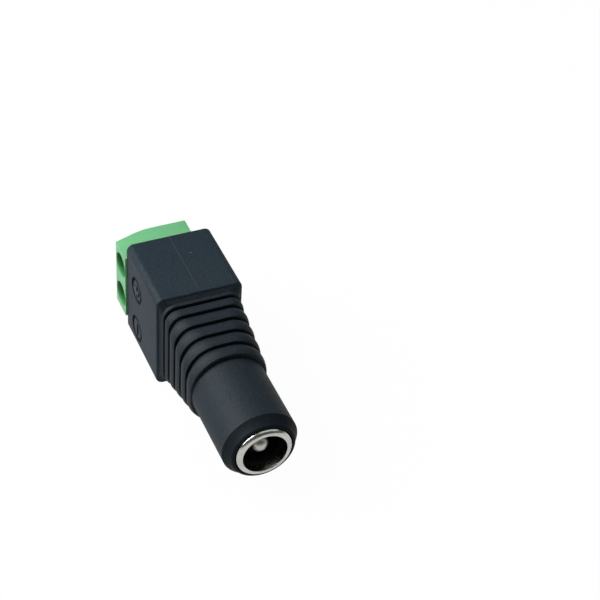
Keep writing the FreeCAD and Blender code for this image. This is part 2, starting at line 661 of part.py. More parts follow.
def build():
    """Makes every piece and returns the named ones."""
    shell, insulator, pin = make_jack_shell(), make_jack_insulator(), make_center_pin()
    tag, leaf = make_pin_tag(), make_sleeve_contact()
    envelope = make_terminal_envelope()
    cages, screws, bars, hollows = [], [], [], []
    for count, side in ((1, 1), (2, -1)):
        hollows.append(make_pole_hollow(f"pole_hollow_{count}", side))
        cages.append(make_clamp_cage(f"clamp_cage_{count}", side))
        screws.append(make_clamp_screw(f"clamp_screw_{count}", side))
        bars.append(make_contact_bar(f"contact_bar_{count}", side))
    housing = cut("terminal_housing", envelope, joined("pole_hollows", hollows))

    positive, positive_sleeve, positive_jacket = make_lead("positive", POSITIVE_CORE_Z)
    negative, negative_sleeve, negative_jacket = make_lead("negative", NEGATIVE_CORE_Z)
    beads = []
    for pole, z in (("positive", POSITIVE_CORE_Z), ("negative", NEGATIVE_CORE_Z)):
        ends = (("front", f"{CORE_FRONT} - solder_setback"), ("rear", f"{CORE_REAR} + solder_setback"))
        for end, middle in ends:
            start, stop = f"({middle} - solder_length / 2)", f"({middle} + solder_length / 2)"
            beads.append(rod(f"{pole}_{end}_bead", start, stop, CORE_Y, z, "solder_diameter / 2"))
    metal = [positive, negative, tag, leaf, *bars]
    solder = cut("solder_joints", joined("solder_beads", beads), joined("soldered_metal", metal))

    form = make_overmould_form()
    inside = [envelope, insulator, pin, tag, leaf, *bars]
    inside += [positive, negative, positive_sleeve, negative_sleeve, *beads]
    overmould = cut("overmould_body", form, joined("moulded_in", inside))
    named = [overmould, shell, insulator, pin, tag, leaf, positive, positive_jacket]
    named += [negative, negative_jacket, solder, housing, *cages, *screws, *bars]
    return named


pieces = build()
doc.recompute()

failed = [obj.Label for obj in doc.Objects if {"Invalid", "Error"} & set(obj.State)]
if failed:
    raise RuntimeError("failed objects: " + ", ".join(failed))
for piece in pieces:
    if piece.Shape.isNull() or not piece.Shape.isValid():
        raise RuntimeError("bad shape: " + piece.Label)

os.makedirs("parts", exist_ok=True)
for piece in pieces:
    piece.Shape.exportStep(f"parts/{piece.Label}.step")
    print(f"{piece.Label:20s} solids {len(piece.Shape.Solids)} volume {piece.Shape.Volume:9.3f}")
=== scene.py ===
"""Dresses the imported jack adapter: moulded body, terminal block, jack, clamps and wiring, on a pale table.

Metres, in the model's own frame: the origin is the middle of the jack's mouth, +X points out of it, the
screw heads face -Y and +Z is up.
"""
import json
import math

import bmesh
import bpy
from bpy.props import FloatProperty, FloatVectorProperty, IntProperty, PointerProperty
from mathutils import Matrix, Vector

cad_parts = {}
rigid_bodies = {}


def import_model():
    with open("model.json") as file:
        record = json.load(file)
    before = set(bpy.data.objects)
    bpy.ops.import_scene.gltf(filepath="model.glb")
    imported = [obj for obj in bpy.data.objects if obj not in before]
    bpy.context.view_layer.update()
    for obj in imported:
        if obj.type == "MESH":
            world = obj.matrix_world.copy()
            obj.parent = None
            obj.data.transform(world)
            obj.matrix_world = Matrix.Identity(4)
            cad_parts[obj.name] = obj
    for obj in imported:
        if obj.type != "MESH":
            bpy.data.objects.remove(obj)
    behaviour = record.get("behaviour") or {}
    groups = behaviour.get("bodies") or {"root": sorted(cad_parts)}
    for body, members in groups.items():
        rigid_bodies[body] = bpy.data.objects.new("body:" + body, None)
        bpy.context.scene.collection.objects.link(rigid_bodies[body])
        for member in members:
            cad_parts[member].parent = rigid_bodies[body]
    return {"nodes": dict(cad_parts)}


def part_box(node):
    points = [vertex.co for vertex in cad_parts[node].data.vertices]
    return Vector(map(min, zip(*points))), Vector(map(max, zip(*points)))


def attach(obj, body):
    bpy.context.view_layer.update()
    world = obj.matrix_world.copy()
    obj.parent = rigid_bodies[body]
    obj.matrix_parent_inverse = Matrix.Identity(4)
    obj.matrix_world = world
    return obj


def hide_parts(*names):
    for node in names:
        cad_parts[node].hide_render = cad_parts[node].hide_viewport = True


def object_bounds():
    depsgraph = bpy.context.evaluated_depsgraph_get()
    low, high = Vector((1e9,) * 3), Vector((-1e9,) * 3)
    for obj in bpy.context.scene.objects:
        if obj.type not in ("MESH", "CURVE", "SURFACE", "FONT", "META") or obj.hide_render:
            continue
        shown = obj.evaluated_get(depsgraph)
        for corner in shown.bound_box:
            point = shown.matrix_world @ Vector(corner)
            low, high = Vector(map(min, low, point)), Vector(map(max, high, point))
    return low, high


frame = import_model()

bl_info = {
    "name": "Jack adapter dresser",
    "version": (1, 0, 0),
    "blender": (4, 5, 0),
    "location": "View3D > Sidebar > Adapter",
    "description": "Models and finishes a barrel jack to screw terminal adapter around its packed solids",
    "category": "Add Mesh",
}

MM = 0.001
CAD_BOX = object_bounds()
BODY_LOW, BODY_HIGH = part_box("overmould_body")
HOUSING_LOW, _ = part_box("terminal_housing")
SHELL_LOW, SHELL_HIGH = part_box("jack_shell")
PIN_LOW, PIN_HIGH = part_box("center_pin")
INSULATOR_LOW, INSULATOR_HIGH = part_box("jack_insulator")
SCREW_LOW, SCREW_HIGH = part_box("clamp_screw_1")
SCREW_AT = (SCREW_LOW + SCREW_HIGH) / 2
POLES = (1, 2)
SIDES = (1, -1)
MERGE = 0.0005 * MM
EDGE_STEPS = 3
SEAT_FLARE = 0.12 * MM
SIGN_ROOT = 0.1 * MM
PLATE_GRAIN_MM = 0.004
PLATE_BLOTCH = 0.12
# Radius of the painted shade in the terminal block's screw holes, in millimetres.
HOLE_SHADE_RADIUS_MM = 1.975


def length(name, description, millimetres):
    """A size that a user can change."""
    return FloatProperty(
        name=name, description=description, default=millimetres * MM, subtype="DISTANCE", unit="LENGTH", precision=6
    )


def tint(name, description, colour):
    """A colour that a user can change."""
    return FloatVectorProperty(
        name=name, description=description, default=colour, size=3, min=0.0, max=1.0, subtype="COLOR"
    )


class AdapterSizes(bpy.types.PropertyGroup):
    """Sizes of the forms that the scene models itself."""

    block_length: length("Block length", "Moulded block, along the adapter", 12.0)
    block_corner: length("Block corner", "Rounding of the block's long edges", 1.0)
    block_edge: length("Block edge", "Rounding of the block's front edge", 0.30)
    rear_edge: length("Rear edge", "Rounding of the block's edge at the terminal block", 0.10)
    relief_length: length("Relief length", "Ribbed stretch between block and barrel", 10.85)
    rear_width: length("Relief rear width", "Ribbed stretch at the block, across", 10.8)
    rear_height: length("Relief rear height", "Ribbed stretch at the block, upright", 13.2)
    rear_corner: length("Relief rear corner", "Corner radius of the section at the block", 1.5)
    front_width: length("Relief front width", "Ribbed stretch at the barrel, across", 10.7)
    front_height: length("Relief front height", "Ribbed stretch at the barrel, upright", 11.7)
    front_corner: length("Relief front corner", "Corner radius of the section at the barrel", 5.2)
    first_rib: length("First rib", "Narrow rib next to the block", 0.68)
    first_rise: length("First rib rise", "How much higher the narrow rib stands, above and below", 0.08)
    first_groove: length("First groove", "Gap between the narrow rib and the first broad one", 0.25)
    second_rib: length("Second rib", "How much shorter the first broad rib is than the others", 0.25)
    groove_width: length("Groove width", "Gap between two ribs", 0.55)
    groove_depth: length("Groove depth", "Depth of those gaps", 0.6)
    rib_crown: length("Rib crown", "How far a rib's middle stands above its edges", 0.12)
    rib_edge: length("Rib edge", "Rounding of a rib's edges", 0.10)
    ribs: IntProperty(name="Broad ribs", description="Ribs after the narrow one", default=5, min=1)
    barrel_radius: length("Barrel radius", "Round barrel around the jack", 5.05)
    mouth_slope: length("Mouth slope", "Sloping end of the plastic mouth, along the adapter", 0.95)
    mouth_drop: length("Mouth drop", "How far that end slopes inwards", 0.70)
    mouth_nose: length("Mouth nose", "Round front of the mouth, along the adapter", 0.50)
    mouth_face: length("Mouth face", "How far that front rounds inwards", 0.42)
    draft: length("Draft", "Slope of the groove walls", 0.03)
    mark_radius: length("Mark radius", "Round recesses for the polarity signs", 1.9)
    mark_depth: length("Mark depth", "Depth of those recesses", 0.3)
    mark_setback: length("Mark setback", "Recesses from the block's rear face", 4.0)
    mark_spacing: length("Mark spacing", "Recesses from each other", 6.8)
    mark_offset: length("Mark offset", "How far the recesses' middle lies below the axis", 0.75)
    mark_ring: length("Mark ring", "Ring around a recess's disc", 0.45)
    disc_depth: length("Disc depth", "How far the disc inside that ring lies below the face", 0.05)
    sign_length: length("Sign length", "Bars of the polarity signs", 1.9)
    sign_width: length("Sign width", "Width of those bars", 0.50)
    sign_height: length("Sign height", "How far the signs stand out of their discs", 0.18)
    sign_edge: length("Sign edge", "Rounding of their edges", 0.06)
    mould_line_width: length("Mould line width", "Fine seam along the top and bottom", 0.07)
    mould_line_height: length("Mould line height", "How far that seam stands out", 0.006)
    housing_edge: length("Housing edge", "Rounding of the terminal block's edges", 0.12)
    wire_edge: length("Wire edge", "Curve between the wire face and the slanted face, along each", 1.6)
    slant_start: length("Slant start", "Where the slanted face starts, below the axis", 2.1)
    slant_depth: length("Slant depth", "How far it runs back from the wire face", 1.35)
    lip_radius: length("Lip bore radius", "Inside of the jack's ring", 2.95)
    lip_length: length("Lip length", "Rolled lip of the jack's sleeve", 0.9)
    lip_round: length("Lip round", "Rounded front of that lip, along the adapter", 0.62)
    sleeve_radius: length("Sleeve radius", "Jack's sleeve behind its lip", 3.45)
    sleeve_wall: length("Sleeve wall", "Sheet of that sleeve", 0.3)
    pin_reach: length("Pin reach", "Centre pin's tip behind the ring's front", 1.05)
    pin_dome: length("Pin dome", "Length of its round tip", 0.92)
    stem_end: length("Stem end", "Where the pin's thin stem ends, behind the ring's front", 10.5)
    stem_radius: length("Stem radius", "Thin stem of the pin in the insulator", 0.75)
    clamp_edge: length("Clamp edge", "Rounding of the cages' and bars' edges", 0.07)
    head_height: length("Head height", "Head of the clamp screws", 1.25)
    slot_width: length("Slot width", "Screwdriver slot in that head", 0.6)
    slot_depth: length("Slot depth", "Depth of that slot", 0.7)
    shank_radius: length("Shank radius", "Shank of the clamp screws, over the thread", 1.2)
    thread_pitch: length("Thread pitch", "Thread of the clamp screws", 0.45)
    thread_depth: length("Thread depth", "Depth of that thread", 0.22)


class AdapterColours(bpy.types.PropertyGroup):
    """Colours of the adapter's materials."""

    overmould: tint("Overmould", "Black moulded body", (0.0105, 0.0200, 0.0285))
    housing: tint("Terminal block", "Green moulded block", (0.142, 0.43, 0.200))
    nickel: tint("Nickel", "Ring and centre pin", (0.68, 0.70, 0.64))
    tin: tint("Tin", "Contact bars, leaf, lug and leads", (0.70, 0.70, 0.68))
    zinc: tint("Zinc", "Clamp screws and cages", (0.62, 0.64, 0.66))
    insulator: tint("Insulator", "Inside of the jack", (0.008, 0.008, 0.009))


def deselect():
    """Selects nothing."""
    bpy.ops.object.select_all(action="DESELECT")


def make_active(piece):
    """Selects one object alone."""
    deselect()
    piece.select_set(True)
    bpy.context.view_layer.objects.active = piece


def blank(name):
    """A new object whose mesh is empty, in edit mode."""
    deselect()
    bpy.ops.mesh.primitive_plane_add(size=MM)
    piece = bpy.context.object
    piece.name = name
    piece.data.name = name
    bpy.ops.object.mode_set(mode="EDIT")
    bpy.ops.mesh.select_all(action="SELECT")
    bpy.ops.mesh.delete(type="VERT")
    return piece


def apply_modifier(piece, kind, name, **settings):
    """Adds a modifier and applies it."""
    make_active(piece)
    modifier = piece.modifiers.new(name, kind)
    for key, value in settings.items():
        setattr(modifier, key, value)
    bpy.ops.object.modifier_apply(modifier=modifier.name)


def smooth(piece, degrees=35):
    """Shades a piece smooth, apart from edges sharper than that."""
    make_active(piece)
    bpy.ops.object.shade_smooth_by_angle(angle=math.radians(degrees))


def clean(piece):
    """Merges what coincides and turns the faces outwards."""
    make_active(piece)
    bpy.ops.object.mode_set(mode="EDIT")
    bpy.ops.mesh.select_all(action="SELECT")
    bpy.ops.mesh.remove_doubles(threshold=MERGE)
    bpy.ops.mesh.normals_make_consistent(inside=False)
    bpy.ops.object.mode_set(mode="OBJECT")


def settle(piece, body, material, nodes=()):
    """Puts a finished piece's place in its mesh, rides it on its body and gives it its finish."""
    make_active(piece)
    bpy.ops.object.transform_apply(location=True, rotation=True, scale=True)
    piece.data.materials.clear()
    piece.data.materials.append(material)
    if nodes:
        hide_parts(*nodes)
    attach(piece, body)


def paint(node, material):
    """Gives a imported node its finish."""
    target = frame["nodes"][node]
    for slot in target.material_slots:
        slot.material = material


def arc(centre, radius, start, end, steps):
    """Points of an arc, angles in degrees from the first axis towards the second."""
    points = []
    for i in range(steps + 1):
        angle = math.radians(start + (end - start) * i / steps)
        points.append((centre[0] + radius * math.cos(angle), centre[1] + radius * math.sin(angle)))
    return points


def trace(points):
    """Draws a chain of edges through points, in edit mode."""
    bpy.ops.mesh.primitive_plane_add(size=MM, location=points[0])
    bpy.ops.mesh.merge(type="CENTER")
    for before, after in zip(points, points[1:]):
        step = Vector(after) - Vector(before)
        bpy.ops.mesh.extrude_region_move(TRANSFORM_OT_translate={"value": step})


def spun(name, profile, centre, axis, outward, steps):
    """Turns a profile of (along, radius) points about an axis through centre."""
    piece = blank(name)
    centre, axis, outward = Vector(centre), Vector(axis), Vector(outward)
    trace([centre + axis * along + outward * radius for along, radius in profile])
    bpy.ops.mesh.select_all(action="SELECT")
    bpy.ops.mesh.spin(steps=steps, angle=math.tau, center=centre, axis=axis)
    bpy.ops.object.mode_set(mode="OBJECT")
    clean(piece)
    return piece


def turned(name, profile, steps):
    """Turns a profile of (along, radius) points about the jack's axis."""
    return spun(name, profile, (0, 0, 0), (1, 0, 0), (0, 0, 1), steps)


def combine(piece, operation, others):
    """Joins others to a piece with UNION or takes them out with DIFFERENCE, and deletes them."""
    for other in others:
        apply_modifier(piece, "BOOLEAN", "combined", operation=operation, solver="EXACT", object=other)
        bpy.data.objects.remove(other, do_unlink=True)


def copy_of(node, name):
    """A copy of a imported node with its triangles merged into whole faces."""
    make_active(frame["nodes"][node])
    bpy.ops.object.duplicate(linked=False)
    piece = bpy.context.object
    piece.name = name
    piece.data.name = name
    bpy.ops.object.parent_clear(type="CLEAR_KEEP_TRANSFORM")
    bpy.ops.object.mode_set(mode="EDIT")
    bpy.ops.mesh.select_all(action="SELECT")
    bpy.ops.mesh.remove_doubles(threshold=MERGE)
    bpy.ops.mesh.dissolve_limited(angle_limit=math.radians(1.5))
    bpy.ops.object.mode_set(mode="OBJECT")
    return piece


def round_edges(piece, width, segments=3):
    """Rounds a piece's sharp edges."""
    apply_modifier(
        piece, "BEVEL", "edges", width=width, segments=segments, limit_method="ANGLE",
        angle_limit=math.radians(40), harden_normals=False, use_clamp_overlap=True, miter_outer="MITER_ARC",
    )


class Wire:
    """A shader socket that takes part in Python expressions."""

    def __init__(self, finish, socket):
        self.finish = finish
        self.socket = socket

    def calculate(self, operation, *values):
        """The result of one Math node."""
        return self.finish.node("ShaderNodeMath", {"operation": operation}, dict(enumerate(values)))

    def __add__(self, other):
        return self.calculate("ADD", self, other)

    def __radd__(self, other):
        return self.calculate("ADD", other, self)

    def __sub__(self, other):
        return self.calculate("SUBTRACT", self, other)

    def __rsub__(self, other):
        return self.calculate("SUBTRACT", other, self)

    def __mul__(self, other):
        return self.calculate("MULTIPLY", self, other)

    def __rmul__(self, other):
        return self.calculate("MULTIPLY", other, self)

    def __lt__(self, other):
        return self.calculate("LESS_THAN", self, other)

    def __abs__(self):
        return self.calculate("ABSOLUTE", self)

    def ramp(self, low, high):
        """0 below low, 1 above high and smooth between."""
        values = {"Value": self, "From Min": low, "From Max": high}
        return self.finish.node("ShaderNodeMapRange", {"interpolation_type": "SMOOTHSTEP", "clamp": True}, values)


class Finish:
    """One material and its nodes."""

    def __init__(self, name):
        self.material = bpy.data.materials.new(name)
        self.material.use_nodes = True
        self.tree = self.material.node_tree
        self.tree.nodes.clear()
        self.place = self.node("ShaderNodeTexCoord", output="Object")

    def node(self, kind, settings=None, values=None, output=0):
        """Adds a node, sets it up, fills its sockets and gives one of its outputs."""
        made = self.tree.nodes.new(kind)
        for key, value in (settings or {}).items():
            setattr(made, key, value)
        for key, value in (values or {}).items():
            if isinstance(value, Wire):
                self.tree.links.new(value.socket, made.inputs[key])
            else:
                made.inputs[key].default_value = value
        return Wire(self, made.outputs[output])

    def noise(self, per_mm, detail=3.0, roughness=0.55, stretch=(1, 1, 1), place=(0, 0, 0)):
        """Cloudy pattern from 0 to 1 with that many cells in a millimetre."""
        spot = self.node(
            "ShaderNodeMapping", {"vector_type": "POINT"}, {"Vector": self.place, "Scale": stretch, "Location": place}
        )
        values = {"Vector": spot, "Scale": per_mm / MM, "Detail": detail, "Roughness": roughness}
        return self.node("ShaderNodeTexNoise", {"noise_dimensions": "3D"}, values)

    def specks(self, per_mm, radius_mm, share):
        """1 inside small dots, which only that share of the cells has."""
        values = {"Vector": self.place, "Scale": per_mm / MM, "Randomness": 1.0}
        near = self.node("ShaderNodeTexVoronoi", {"feature": "F1"}, values, output="Distance")
        chance = self.node("ShaderNodeTexVoronoi", {"feature": "F1"}, values, output="Color")
        lot = self.node("ShaderNodeSeparateColor", {}, {"Color": chance}, output=0)
        return (near < radius_mm * per_mm) * (lot < share)

    def axis(self, index):
        """The place along one axis, in millimetres."""
        return self.node("ShaderNodeSeparateXYZ", {}, {"Vector": self.place}, output=index) * (1 / MM)

    def blend(self, mask, first, second):
        """Colour between two colours."""
        values = {0: mask, 6: opaque(first), 7: opaque(second)}
        return self.node("ShaderNodeMix", {"data_type": "RGBA"}, values, output=2)

    def bump(self, height, depth_mm, normal=None):
        """Normal that follows a height from 0 to 1 of that depth."""
        values = {"Height": height, "Distance": depth_mm * MM, "Strength": 1.0}
        if normal is not None:
            values["Normal"] = normal
        return self.node("ShaderNodeBump", {}, values, output="Normal")

    def surface(self, **values):
        """Principled surface. Sockets are named in words, with _ for a space."""
        sockets = {key.replace("_", " "): value for key, value in values.items()}
        shader = self.node("ShaderNodeBsdfPrincipled", {}, sockets)
        self.node_output(shader)
        return self.material

    def node_output(self, shader):
        """Makes a shader the material's surface."""
        out = self.tree.nodes.new("ShaderNodeOutputMaterial")
        self.tree.links.new(shader.socket, out.inputs["Surface"])


def opaque(colour):
    """A colour with full alpha, or a wire as it is."""
    return colour if isinstance(colour, Wire) else (*colour, 1.0)


def scaled(colour, factor):
    """A lighter or darker colour."""
    return tuple(min(c * factor, 1.0) for c in colour)


def overmould_finish(colour, front, mouth):
    """Satin black moulding with grain, rub marks and dust. It is darker past the block's front. Painted shade: where
    ambient occlusion finds grooves, recesses and corners, and across the mouth's sloping band, a dim copy of the
    moulding is mixed in.
    """
    f = Finish("black_overmould")
    cloud = f.noise(0.22, detail=4)
    grain = f.noise(11.0, detail=2)
    mottle = f.noise(5.0, detail=3, roughness=0.7, place=(0.01, 0, 0))
    rub = f.noise(0.9, detail=5, stretch=(0.25, 1, 1)).ramp(0.60, 0.78)
    dust = f.specks(0.45, 0.055, 0.2)
    ribbed = (f.axis(0) - front / MM).ramp(-0.3, 0.3)
    tone = f.blend(cloud, scaled(colour, 0.82), scaled(colour, 1.2))
    tone = f.blend(0.7, tone, f.blend(mottle.ramp(0.36, 0.66), scaled(colour, 0.40), scaled(colour, 1.9)))
    tone = f.blend(rub * 0.30, tone, scaled(colour, 2.6))
    tone = f.blend(dust * 0.85, tone, (0.5, 0.5, 0.48))
    tone = f.blend(ribbed * 0.30, tone, (0.0, 0.0, 0.0))
    rough = 0.48 + cloud * 0.08 + rub * 0.06 + mottle * 0.10
    normal = f.bump(grain, 0.014, normal=f.bump(mottle, 0.045))
    lit = {"Base Color": tone, "Roughness": rough, "Normal": normal, "IOR": 1.5, "Specular IOR Level": 0.24}
    # Painted shade: dim is a darkened, nearly unreflective copy of the moulding; the mix below puts it in closed-in
    # places and across the mouth's band.
    dim = {"Base Color": opaque(scaled(colour, 0.25)), "Roughness": rough, "Specular IOR Level": 0.03}
    open_side = f.node("ShaderNodeBsdfPrincipled", {}, lit)
    shade = f.node("ShaderNodeBsdfPrincipled", {}, dim)
    free = f.node("ShaderNodeAmbientOcclusion", {"samples": 8}, {"Distance": 1.6 * MM}, output="AO").ramp(0.34, 0.80)
    # More painted shade across the mouth's sloping band.
    free = free * (1.0 - 0.62 * (f.axis(0) - mouth / MM).ramp(-0.03, 0.05))
    f.node_output(f.node("ShaderNodeMixShader", {}, {0: free, 1: shade, 2: open_side}))
    return f.material


def housing_finish(colour):
    """Green moulding, slightly cloudy, with faint flow marks and painted shade, a darker deep green, down in the
    screw holes.
    """
    f = Finish("green_housing")
    cloud = f.noise(0.35, detail=4)
    grain = f.noise(8.0, detail=2)
    flow = f.noise(0.8, detail=4, stretch=(1, 0.15, 1)).ramp(0.45, 0.75)
    tone = f.blend(cloud, scaled(colour, 0.9), scaled(colour, 1.08))
    tone = f.blend(flow * 0.18, tone, scaled(colour, 1.3))
    along, across, up = f.axis(0) - SCREW_AT.x / MM, f.axis(1), abs(f.axis(2)) - SCREW_AT.z / MM
    # Painted shade: a dark deep green in the screw holes, stronger deeper in.
    hole = (along * along + up * up) < HOLE_SHADE_RADIUS_MM**2
    hole_shade_fade = (across - HOUSING_LOW.y / MM).ramp(-0.15, 0.65) * (across < 0.0)
    tone = f.blend(hole * hole_shade_fade, tone, (0.010, 0.150, 0.018))
    normal = f.bump(grain, 0.006, normal=f.bump(cloud, 0.03))
    return f.surface(
        Base_Color=tone, Roughness=0.36 + cloud * 0.10, Normal=normal, IOR=1.52,
        Subsurface_Weight=0.12, Subsurface_Radius=(0.3 * MM, 0.6 * MM, 0.3 * MM), Subsurface_Scale=1.0,
    )


def plated_finish(name, colour, roughness):
    """Plated metal with fine handling marks and a slightly uneven sheen."""
    f = Finish(name)
    cloud = f.noise(0.7, detail=4)
    hair = f.noise(5.0, detail=3, stretch=(0.15, 1, 1))
    pits = f.noise(9.0, detail=2)
    tone = f.blend(cloud.ramp(0.35, 0.75), scaled(colour, 1 - PLATE_BLOTCH), scaled(colour, 1 + PLATE_BLOTCH / 2))
    rough = roughness + cloud * 0.06 + hair * 0.05
    normal = f.bump(pits, PLATE_GRAIN_MM, normal=f.bump(hair, PLATE_GRAIN_MM))
    return f.surface(Base_Color=tone, Metallic=1.0, Roughness=rough, Normal=normal)


def plain_plastic_finish(name, colour, roughness):
    """Smooth plastic with a trace of grain."""
    f = Finish(name)
    cloud = f.noise(0.6, detail=3)
    tone = f.blend(cloud, scaled(colour, 0.8), scaled(colour, 1.2))
    return f.surface(Base_Color=tone, Roughness=roughness + cloud * 0.08, Normal=f.bump(f.noise(7.0), 0.004), IOR=1.5)


def relief_section(sizes, share, inset):
    """Half width, half height and corner radius of the ribbed stretch, share of the way to the barrel."""
    half_width = (sizes.rear_width + (sizes.front_width - sizes.rear_width) * share) / 2 - inset
    half_height = (sizes.rear_height + (sizes.front_height - sizes.rear_height) * share) / 2 - inset
    corner = sizes.rear_corner + (sizes.front_corner - sizes.rear_corner) * share - inset
    return half_width, half_height, corner


def rib_profile(sizes, start, end, crown):
    """(place, inset) stations of one rib, with round edges and a crowned top, without the grooves beside it."""
    edge, first, last = sizes.rib_edge, start + sizes.draft + sizes.rib_edge, end - sizes.draft - sizes.rib_edge
    stations = arc((first, crown + edge), edge, -180, -90, EDGE_STEPS)
    steps = 6 if crown else 2
    for i in range(1, steps):
        share = i / steps
        stations.append((first + (last - first) * share, crown * (2 * share - 1) ** 2))
    return stations + arc((last, crown + edge), edge, -90, 0, EDGE_STEPS)


def block_stations(sizes):
    """Sections of the block, with its two rounded ends."""
    half_width, half_height = BODY_HIGH.y, BODY_HIGH.z - sizes.mould_line_height
    rear, front = BODY_LOW.x + sizes.rear_edge, BODY_LOW.x + sizes.block_length - sizes.block_edge
    stations = []
    for place, edge, start, end in ((rear, sizes.rear_edge, 180, 90), (front, sizes.block_edge, 90, 0)):
        for along, out in arc((0, 0), edge, start, end, 4):
            inset = edge - out
            stations.append((place + along, half_width - inset, half_height - inset, sizes.block_corner - inset))
    return stations


def relief_stations(sizes):
    """Sections of the ribs and of the grooves between them. The narrow first rib starts square at the block."""
    front = BODY_LOW.x + sizes.block_length
    broad = front + sizes.first_rib
    pitch = (sizes.relief_length - sizes.first_rib + sizes.second_rib) / sizes.ribs
    narrow = rib_profile(sizes, front, broad + sizes.groove_width - sizes.first_groove, 0.0)[EDGE_STEPS + 1:]
    ribs = []
    for k in range(sizes.ribs):
        start = broad + pitch * k - (sizes.second_rib if k else 0.0) + sizes.groove_width
        end = broad + pitch * (k + 1) - sizes.second_rib
        gap = sizes.groove_width if k else sizes.first_groove
        ribs += [(start - gap, sizes.groove_depth), (start, sizes.groove_depth)]
        ribs += rib_profile(sizes, start, end, sizes.rib_crown)
    stations = []
    for rise, profile in ((sizes.first_rise, narrow), (0.0, ribs)):
        for place, inset in profile:
            half_width, half_height, corner = relief_section(sizes, (place - front) / sizes.relief_length, inset)
            stations.append((place, half_width, half_height + rise, corner))
    return stations


def barrel_stations(sizes):
    """Sections of the barrel and its mouth, in to the edge of the jack's seat."""
    mouth, shoulder = BODY_HIGH.x, BODY_LOW.x + sizes.block_length + sizes.relief_length
    radius, nose = sizes.barrel_radius, mouth - sizes.mouth_nose
    rings = [(shoulder + sizes.draft, radius), (nose - sizes.mouth_slope, radius)]
    for along, out in arc((0, 0), 1.0, 90, 12, 7):
        rings.append((nose + sizes.mouth_nose * along, radius - sizes.mouth_drop - sizes.mouth_face * (1 - out)))
    rings += [(mouth, rings[-1][1] - 0.02 * MM), (mouth + 0.001 * MM, SHELL_HIGH.z + SEAT_FLARE)]
    return [(place, r, r, r) for place, r in rings]


def make_section(place, half_width, half_height, corner):
    """Rounded rectangle across the adapter, in edit mode. Its corners stop just short of each other."""
    bpy.ops.mesh.primitive_plane_add(size=2, location=(place, 0, 0), rotation=(0, math.pi / 2, 0))
    bpy.ops.transform.resize(value=(1, half_width, half_height), center_override=(place, 0, 0))
    reach = min(corner, min(half_width, half_height) * 0.9995)
    bpy.ops.mesh.bevel(offset=reach, offset_type="OFFSET", segments=16, affect="VERTICES", profile=0.5)


def mark_height(sizes, side):
    """Middle of the upper or lower round recess."""
    return side * sizes.mark_spacing / 2 - sizes.mark_offset


def face_ends(piece, places):
    """Closes the open loops that lie at the given places along the adapter."""
    for place in places:
        make_active(piece)
        bpy.ops.object.mode_set(mode="EDIT")
        bpy.ops.mesh.select_mode(type="EDGE")
        bpy.ops.mesh.select_all(action="DESELECT")
        mesh = bmesh.from_edit_mesh(piece.data)
        for edge in mesh.edges:
            edge.select_set(all(abs(vertex.co.x - place) < MERGE for vertex in edge.verts))
        bpy.ops.mesh.edge_face_add()
        bpy.ops.mesh.select_mode(type="VERT")
        bpy.ops.object.mode_set(mode="OBJECT")


class ADAPTER_OT_make_body(bpy.types.Operator):
    """Models the black moulded body with its ribs, its mouth and the recesses for the signs"""

    bl_idname = "adapter.make_body"
    bl_label = "Moulded body"

    seat_room = 0.06 * MM
    flare_depth = 0.08 * MM
    mark_rim = 0.1 * MM
    disc_edge = 0.04 * MM
    disc_draft = 0.03 * MM

    def execute(self, context):
        sizes = context.scene.adapter_sizes
        stations = block_stations(sizes) + relief_stations(sizes) + barrel_stations(sizes)
        piece = blank("moulded_body")
        for station in stations:
            make_section(*station)
        bpy.ops.mesh.select_all(action="SELECT")
        bpy.ops.mesh.delete(type="ONLY_FACE")
        bpy.ops.mesh.select_all(action="SELECT")
        bpy.ops.mesh.bridge_edge_loops()
        bpy.ops.object.mode_set(mode="OBJECT")
        face_ends(piece, (stations[0][0], stations[-1][0]))
        clean(piece)
        combine(piece, "DIFFERENCE", (self.seat_cutter(sizes), *self.mark_cutters(sizes)))
        smooth(piece, 32)
        front = BODY_LOW.x + sizes.block_length
        mouth = BODY_HIGH.x - sizes.mouth_nose - sizes.mouth_slope
        material = overmould_finish(context.scene.adapter_colours.overmould, front, mouth)
        settle(piece, "adapter", material, ("overmould_body",))
        return {"FINISHED"}

    def seat_cutter(self, sizes):
        """Room for the jack, with a flare at the mouth."""
        room = self.seat_room
        bore, sleeve = SHELL_HIGH.z + room, sizes.sleeve_radius + room
        shoulder, back = -sizes.lip_length - room, INSULATOR_LOW.x - room
        profile = [
            (MM, 0.0),
            (MM, bore + SEAT_FLARE * 5),
            (BODY_HIGH.x + 0.05 * MM, bore + SEAT_FLARE),
            (BODY_HIGH.x - self.flare_depth, bore),
            (shoulder, bore),
            (shoulder, sleeve),
            (back, sleeve),
            (back, 0.0),
        ]
        return turned("seat_cutter", profile, 96)

    def mark_cutters(self, sizes):
        """Round recesses with round rims and a raised disc in each."""
        depth, radius, rim = sizes.mark_depth, sizes.mark_radius, self.mark_rim
        disc, inner, edge, outside = sizes.disc_depth, radius - sizes.mark_ring, self.disc_edge, 0.5 * MM
        profile = [(-outside, 0.0), (-outside, radius + rim + outside), (0.0, radius + rim)]
        profile += arc((rim, radius + rim), rim, 250, 190, 3)
        profile += arc((depth - rim, radius - rim), rim, 90, 0, 4)
        profile += [(depth, inner + self.disc_draft), (disc + edge, inner), (disc, inner - edge), (disc, 0.0)]
        places = [(BODY_LOW.x + sizes.mark_setback, BODY_LOW.y, mark_height(sizes, side)) for side in SIDES]
        return [spun("mark_cutter", profile, place, (0, 1, 0), (0, 0, 1), 64) for place in places]


